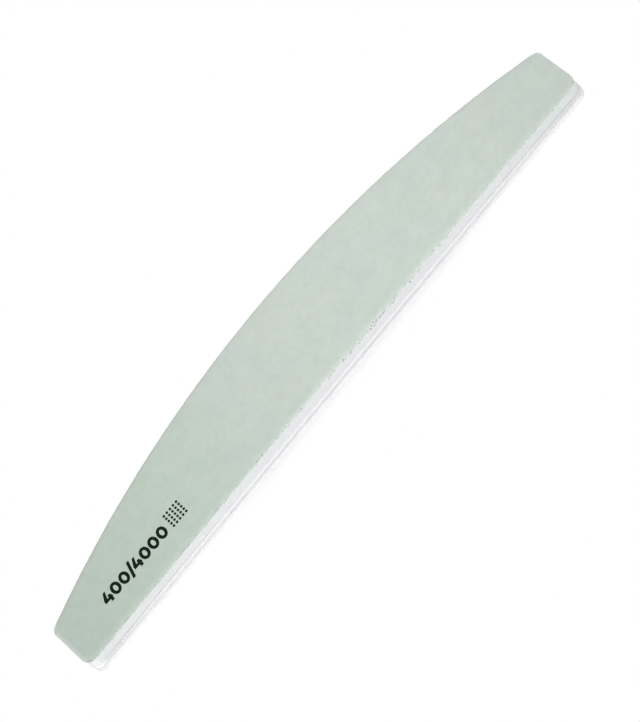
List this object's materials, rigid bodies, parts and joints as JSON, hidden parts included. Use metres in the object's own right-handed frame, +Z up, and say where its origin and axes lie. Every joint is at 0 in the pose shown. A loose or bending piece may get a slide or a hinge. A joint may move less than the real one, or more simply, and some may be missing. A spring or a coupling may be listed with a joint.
{
  "type": "nail file",
  "caption": "Half-moon nail file with a nearly straight and a bowed long edge: abrasive sheets on foam pads, bonded to a stiff plastic core.",
  "frame": {"origin": "on the underside, at the middle of the outline's box, so the board lies on its fine face at z = 0", "axes": "+X along the board's length, +Y from the straight edge to the bowed edge, +Z up through the sheets from the fine face to the sage face"},
  "size_m": [0.178, 0.0284, 0.0076],
  "materials": {
    "sage_abrasive": "matte",
    "fine_abrasive": "matte",
    "white_foam": "matte",
    "adhesive": "satin",
    "white_plastic": "satin"
  },
  "bodies": {
    "root": {"lower_abrasive_sheet": "fine_abrasive", "lower_face_adhesive": "adhesive", "lower_foam_pad": "white_foam", "lower_core_adhesive": "adhesive", "plastic_core": "white_plastic", "upper_core_adhesive": "adhesive", "upper_foam_pad": "white_foam", "upper_face_adhesive": "adhesive", "upper_abrasive_sheet": "sage_abrasive"}
  },
  "joints": []
}
